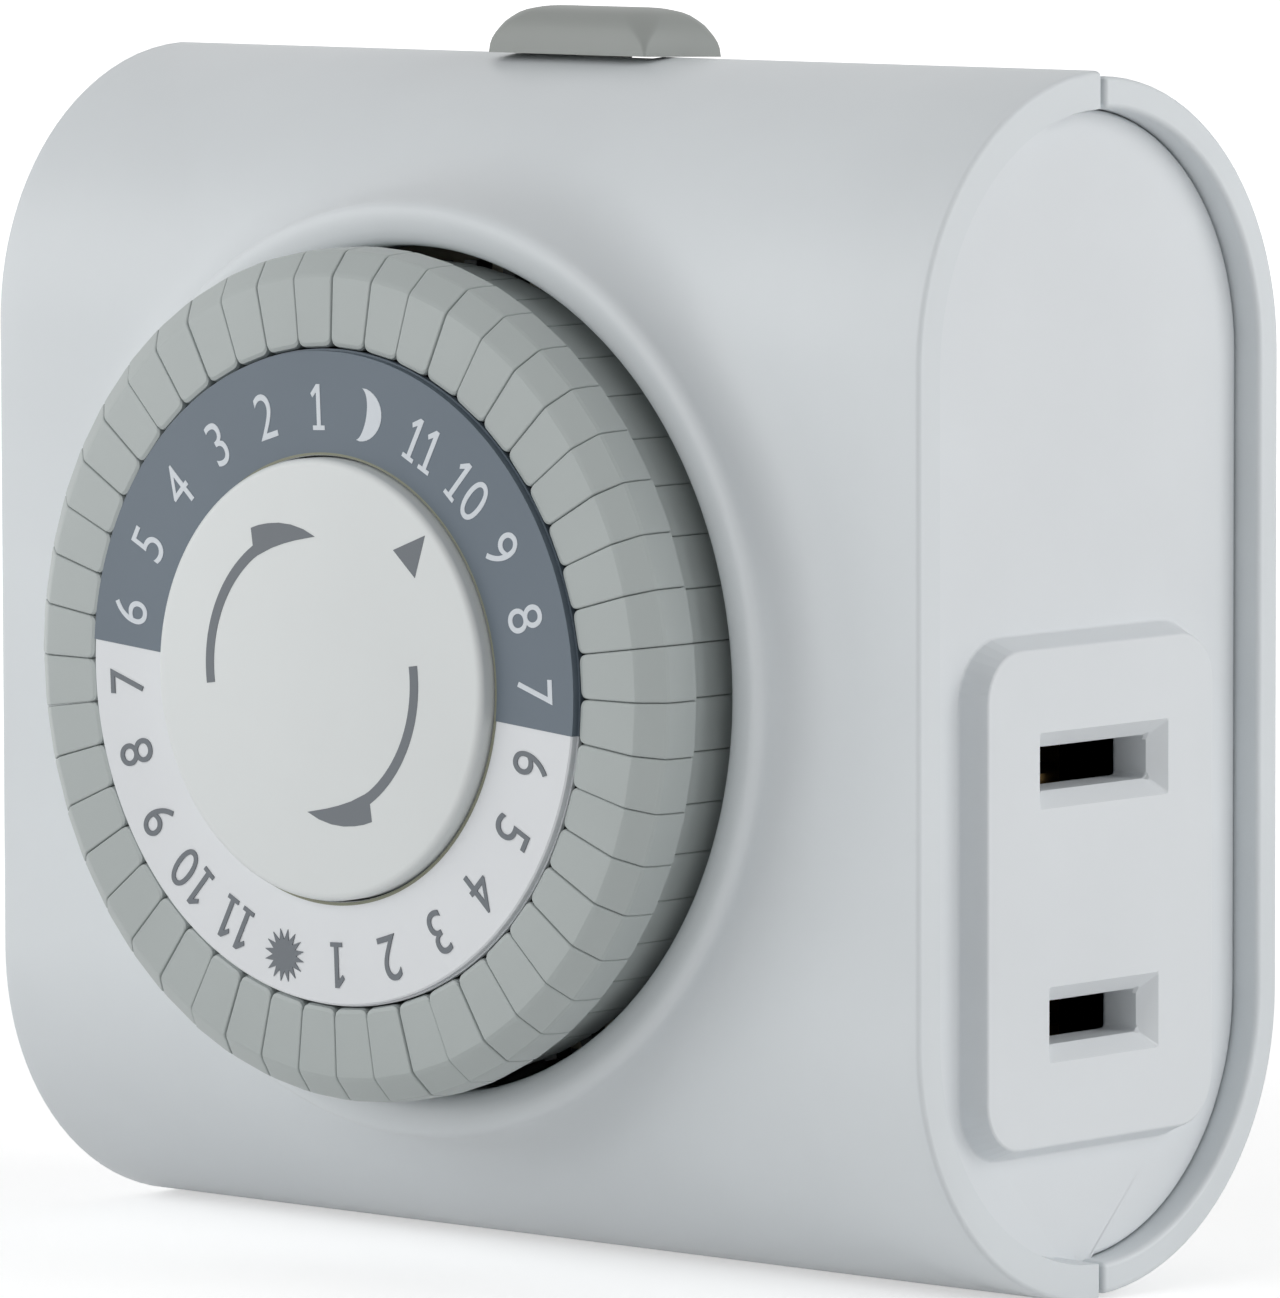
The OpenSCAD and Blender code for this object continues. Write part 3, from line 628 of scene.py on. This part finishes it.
def build_ring():
    inner_r, outer_r = RING_R
    base = turned("hour_ring", [
        (inner_r, RING_BACK_D), (inner_r, RING_D - 0.08), (inner_r + 0.06, RING_BARE_D),
        (outer_r - 0.08, RING_BARE_D), (outer_r, RING_D - 0.1), (outer_r, FOOT_D - 0.05),
        (FOOT_R - 0.03, FOOT_D - 0.05), (FOOT_R - 0.03, RING_BACK_D)], "dial", RING_WHITE)
    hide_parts("printed_hour_ring")
    from_r = inner_r + 0.02
    back_d, line_d = RING_D - 0.1, RING_D - 0.01
    # a thin flat ring of darker colour laid on the ring's face as painted shade round the cap
    shade_line = [(from_r, back_d), (from_r, line_d), (SHADE_LINE_R, line_d), (SHADE_LINE_R, back_d)]
    turned("ring_painted_shade", shade_line, "dial", SHADE_LINE_PAINT)
    dusk, dawn = MIDNIGHT_A - 6.5 * HOUR_A, MIDNIGHT_A + 5.5 * HOUR_A
    night = annulus_part(SHADE_LINE_R - 0.03, outer_r + 0.02, dusk, dawn)
    printed("night_half", [night], (NIGHT_SIDE_D, RING_D), "dial", SLATE)
    foot = annulus_part(outer_r - 0.1, FOOT_R, dusk, dawn)
    printed("night_foot", [foot], (RING_BACK_D, FOOT_D), "dial", SLATE)
    dark = [(str(h), MIDNIGHT_A - h * HOUR_A) for h in range(1, 7)]
    dark += [(str(12 - h), MIDNIGHT_A + h * HOUR_A) for h in range(1, 6)]
    light = [(str(h), MIDNIGHT_A - h * HOUR_A) for h in range(7, 12)]
    light += [(str(12 - h), MIDNIGHT_A + h * HOUR_A) for h in range(6, 12)]
    numerals("night_numbers", dark, INK_WHITE)
    numerals("day_numbers", light, INK_GREY)
    printed("moon", [crescent()], (RING_D - INK_D, RING_D + INK_D), "dial", INK_WHITE)
    printed("sun", [sun_star()], (RING_D - 2 * INK_D, RING_D + INK_D), "dial", INK_GREY)


CAP_POST = (2.47, 29.0)    # radius of the cap's post and the depth that it reaches back to
CAP_T = 1.55
CAP_ROUNDING = [           # the face's edge: distance in from the rim and below the face
    (0.0, 0.36), (0.04, 0.22), (0.12, 0.12), (0.24, 0.05), (0.4, INK_D),
]
ARROWS_AT = [              # centres of the upper and the lower turning arrow
    (-0.39, 0.42), (-0.39, 0.12),
]
ARROW_R = (6.72, 7.28)     # inner and outer edge of an arrow's tail
ARROW_TAIL_A = -98
ARROW_HEAD = [             # radius and angle, from the tail's outer edge over the tip to its inner edge
    (8.1, -30.4), (8.0, -26.5), (7.85, -22.0), (7.66, -16.5), (7.42, -10.5), (7.12, -4.0), (6.78, 2.5),
    (6.66, -3.0), (6.6, -9.0), (6.58, -16.0), (6.62, -24.0), (6.7, -33.0),
]
POINTER_AT = (0.44, 0.03)  # centre that the pointer is drawn about
POINTER = [(10.3, 42.4), (8.3, 48.9), (8.3, 35.3)]


def build_cap():
    post_r, post_d = CAP_POST
    under_d = CAP_D - CAP_T
    profile = [(0, post_d), (post_r, post_d), (post_r, under_d)]
    profile += [(CAP_R - 0.12, under_d), (CAP_R, under_d + 0.15)]
    profile += [(CAP_R - back, CAP_D - down) for back, down in CAP_ROUNDING]
    cap = turned("cap_disc", profile + [(0, CAP_D - INK_D)], "housing", CAP)
    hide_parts("centre_cap")
    arrow = [(ARROW_R[1], a) for a in span(ARROW_TAIL_A, -33, 20)] + ARROW_HEAD
    arrow += [(ARROW_R[0], a) for a in span(-36, ARROW_TAIL_A, 20)]
    both = [[flat_polar(r, a + 180 * i, at) for r, a in arrow] for i, at in enumerate(ARROWS_AT)]
    printed("turning_arrows", both, (CAP_D - 2 * INK_D, CAP_D), "housing", INK_GREY)
    pointer = [flat_polar(r, a, POINTER_AT) for r, a in POINTER]
    printed("pointer", [pointer], (CAP_D - 2 * INK_D, CAP_D), "housing", INK_GREY)


HEAD_PROFILE = [           # radius and depth of a tripper's neck and head
    (16.58, 28.4), (20.6, 28.4), (20.6, 33.2), (21.4, 33.2), (21.5, 33.28), (21.49, 34.2), (21.41, 35.1),
    (21.33, 35.28), (20.36, 36.1), (20.24, 36.18), (20.1, 36.25), (19.9, 36.28), (16.85, 36.38),
    (16.66, 36.32), (16.58, 36.14),
]
HEAD_INNER_R = 17          # points within this radius are rounded as the head's inner end
HEAD_FRONT_D = 36          # points beyond this depth are rounded as its front
HEAD_HALF_A = 3.71         # half the angle that a tripper's head fills
CORNER_R = 0.42            # rounding of a head's inner corners, seen from the front
SIDE_R = 0.1               # rounding of its other edges
SIDE_STEPS = (0.0, 0.03, 0.07, 0.1, 0.18, 0.28, CORNER_R)  # where the profile is repeated, from a side in
UNEVEN = (-0.06, 0.03)     # how far a head stands back or forward


def quarter_round(radius, along):
    """Inset of a rounded edge at a distance along from its start."""
    return radius * (1 - math.sqrt(1 - max(0, 1 - along / radius) ** 2))


def add_tripper(points, faces, clock_deg, lift):
    """Adds one tripper to a mesh's points and faces, its head's corners rounded."""
    stations = [(-1, t) for t in SIDE_STEPS] + [(1, t) for t in reversed(SIDE_STEPS)]
    first, n = len(points), len(HEAD_PROFILE)
    for side, t in stations:
        inner, other = quarter_round(CORNER_R, t), quarter_round(SIDE_R, t)
        for r, d in HEAD_PROFILE:
            r = r + inner if r < HEAD_INNER_R else r - other
            d = d - other if d > HEAD_FRONT_D else d
            turn = HEAD_HALF_A - math.degrees(t / r)
            points.append(polar(r, clock_deg + side * turn, d + lift))
    faces += grid_faces(len(stations), n, closed_columns=True, start=first)
    faces.append(list(range(first, first + n)))
    last = first + (len(stations) - 1) * n
    faces.append(list(range(last + n - 1, last - 1, -1)))


def build_trippers():
    chance = random.Random(7)
    for hour in range(TRIPPERS // 2):
        points, faces = [], []
        for half in (0, 1):
            lift = chance.uniform(*UNEVEN)
            add_tripper(points, faces, (2 * hour + half + 0.5) * PITCH_A, lift)
        body = f"trippers_{hour:02d}"
        piece = new_piece(f"{body}_skin", points, faces, body, TRIPPER, 14)
        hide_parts(f"hour_{hour:02d}")


build_ring()
build_cap()
build_trippers()


# ---- override knob ----


def rounded_rectangle(length, width, radius, steps=10):
    corners = []
    for quarter, (sx, sy) in enumerate(((1, 1), (-1, 1), (-1, -1), (1, -1))):
        cx, cy = sx * (length / 2 - radius), sy * (width / 2 - radius)
        for a in span(90 * quarter, 90 * quarter + 90, steps):
            turn = math.radians(a)
            corners.append((cx + radius * math.cos(turn), cy + radius * math.sin(turn)))
    return corners


KNOB_LEVELS = [  # height above the knob's underside, inset of its outline and corner radius
    (-0.35, 0.0, 0.15), (0.1, 0.0, 0.3), (0.4, 0.02, 0.5), (0.7, 0.08, 0.75), (0.95, 0.15, 1.0),
    (1.25, 0.28, 1.2), (1.5, 0.46, 1.4), (1.75, 0.72, 1.5), (1.9, 1.0, 1.5), (2.0, 1.35, 1.4),
    (2.07, 1.7, 1.2), (2.11, 2.05, 0.88), (2.13, 2.5, 0.45),
]
NECK_TOP_Z = KNOB_Z + 0.1
NECK_CORNER_R = 0.2
KNOB_LEAN = 0.03      # how much the knob falls towards the wall, per millimetre
KNOB_SHIFT = -0.1     # play of the knob along its slot


def build_knob():
    neck = rounded_rectangle(*NECK, NECK_CORNER_R)
    sections = [(SLIDE_Z, neck), (NECK_TOP_Z, neck)]
    for rise, inset, corner in KNOB_LEVELS:
        size = (KNOB_SIZE[0] - 2 * inset, KNOB_SIZE[1] - 2 * inset)
        sections.append((KNOB_Z + rise, rounded_rectangle(*size, corner)))
    middle_x = KNOB_X + KNOB_SHIFT
    points = [(middle_x + x, -SEAM_D + y, z - KNOB_LEAN * y) for z, line in sections for x, y in line]
    n = len(neck)
    faces = grid_faces(len(sections), n, closed_columns=True)
    faces.append(list(range(n)))
    faces.append(list(range((len(sections) - 1) * n, len(sections) * n)))
    piece = new_piece("knob_skin", points, faces, "override_switch", KNOB, 50)
    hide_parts("override_knob")


build_knob()


# ---- camera, floor and lamps ----

# the camera's place in millimetres, its axes and its focal length, fitted to the photograph's view
CAMERA_AT = (376.495, -437.175, 52.2225)
CAMERA_FORWARD = (-0.66117742, 0.74461479, -0.09161463)
CAMERA_UP = (-0.05900205, 0.07012787, 0.99579156)
FOCAL_PX = 11037.5
LONG_SIDE_PX = 1298
FLOOR_GREY = (0.86, 0.86, 0.86, 1)
FLOOR_HALF = 4.0          # half the floor's side, in metres
FLOOR_LIFT = 0.5          # glow of the floor near the object, seen by the camera alone
FLOOR_FADE = (0.06, 0.3)  # distances in metres over which the floor turns plain white
WORLD_LEVEL = 0.34
LAMPS = {                 # place and size in metres, and watts; all point at the frame's origin
    "left_softbox": ((-0.6, -0.5, 0.2), (0.5, 0.6), 1.35),
    "front_softbox": ((-0.14, -0.66, 0.18), (0.5, 0.55), 1.58),
    "right_softbox": ((0.6, 0.3, 0.12), (0.5, 0.6), 2.8),
    "top_softbox": ((0, -0.05, 0.7), (0.6, 0.5), 0.2),
}


def build_camera():
    data = bpy.data.cameras.new("camera")
    data.sensor_width = 36.0
    data.lens = FOCAL_PX / LONG_SIDE_PX * data.sensor_width
    data.clip_start = 0.01
    data.clip_end = 20.0
    camera = bpy.data.objects.new("camera", data)
    forward = Vector(CAMERA_FORWARD).normalized()
    right = forward.cross(Vector(CAMERA_UP)).normalized()
    up = right.cross(forward)
    turn = Matrix((right, up, -forward)).transposed()
    camera.matrix_world = Matrix.Translation(Vector(CAMERA_AT) * MM) @ turn.to_4x4()
    bpy.context.scene.collection.objects.link(camera)
    bpy.context.scene.camera = camera


def build_lamp(name, place, size, watts):
    data = bpy.data.lights.new(name, "AREA")
    data.shape = "RECTANGLE"
    data.size, data.size_y = size
    data.energy = watts
    lamp = bpy.data.objects.new(name, data)
    lamp.location = place
    lamp.rotation_euler = (-Vector(place)).to_track_quat("-Z", "Y").to_euler()
    bpy.context.scene.collection.objects.link(lamp)


def seen(tree):
    """1 where the camera, a reflection or a view through something clear meets the surface."""
    path = tree.nodes.new("ShaderNodeLightPath")
    value = path.outputs["Is Camera Ray"]
    for name in ("Is Glossy Ray", "Is Transmission Ray"):
        either = tree.nodes.new("ShaderNodeMath")
        either.operation = "MAXIMUM"
        tree.links.new(value, either.inputs[0])
        tree.links.new(path.outputs[name], either.inputs[1])
        value = either.outputs[0]
    return value


def build_floor(low_z):
    """Pale floor that stays white to the camera and keeps the shadow."""
    material, tree, shader = nodes_of("floor")
    shader.inputs["Base Color"].default_value = FLOOR_GREY
    shader.inputs["Roughness"].default_value = 0.9
    shader.inputs["Specular IOR Level"].default_value = 0.0
    shown = seen(tree)
    place = tree.nodes.new("ShaderNodeTexCoord")
    away = tree.nodes.new("ShaderNodeVectorMath")
    away.operation = "LENGTH"
    tree.links.new(place.outputs["Object"], away.inputs[0])
    level = ramp(tree, away.outputs["Value"], FLOOR_LIFT, 1.0, *FLOOR_FADE)
    lift = tree.nodes.new("ShaderNodeMath")
    lift.operation = "MULTIPLY"
    tree.links.new(shown, lift.inputs[0])
    tree.links.new(level, lift.inputs[1])
    shader.inputs["Emission Color"].default_value = (1, 1, 1, 1)
    tree.links.new(lift.outputs[0], shader.inputs["Emission Strength"])
    mesh = bpy.data.meshes.new("floor")
    corners = [(sx * FLOOR_HALF, sy * FLOOR_HALF, low_z) for sx, sy in ((-1, -1), (1, -1), (1, 1), (-1, 1))]
    mesh.from_pydata(corners, [], [(0, 1, 2, 3)])
    mesh.materials.append(material)
    floor = bpy.data.objects.new("floor", mesh)
    bpy.context.scene.collection.objects.link(floor)
    floor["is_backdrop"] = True


def build_world(strength):
    """Even studio light, plain white where the camera or a reflection sees it."""
    world = bpy.data.worlds.new("world")
    world.use_nodes = True
    tree = world.node_tree
    background = tree.nodes["Background"]
    background.inputs["Color"].default_value = (1, 1, 1, 1)
    level = tree.nodes.new("ShaderNodeMapRange")
    level.inputs["To Min"].default_value = strength
    level.inputs["To Max"].default_value = 1.0
    tree.links.new(seen(tree), level.inputs["Value"])
    tree.links.new(level.outputs["Result"], background.inputs["Strength"])
    bpy.context.scene.world = world


build_camera()
build_floor(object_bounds()[0].z)
bpy.context.scene.view_settings.view_transform = "Standard"
for lamp_name, (lamp_place, lamp_size, lamp_watts) in LAMPS.items():
    build_lamp(lamp_name, lamp_place, lamp_size, lamp_watts)
build_world(WORLD_LEVEL)
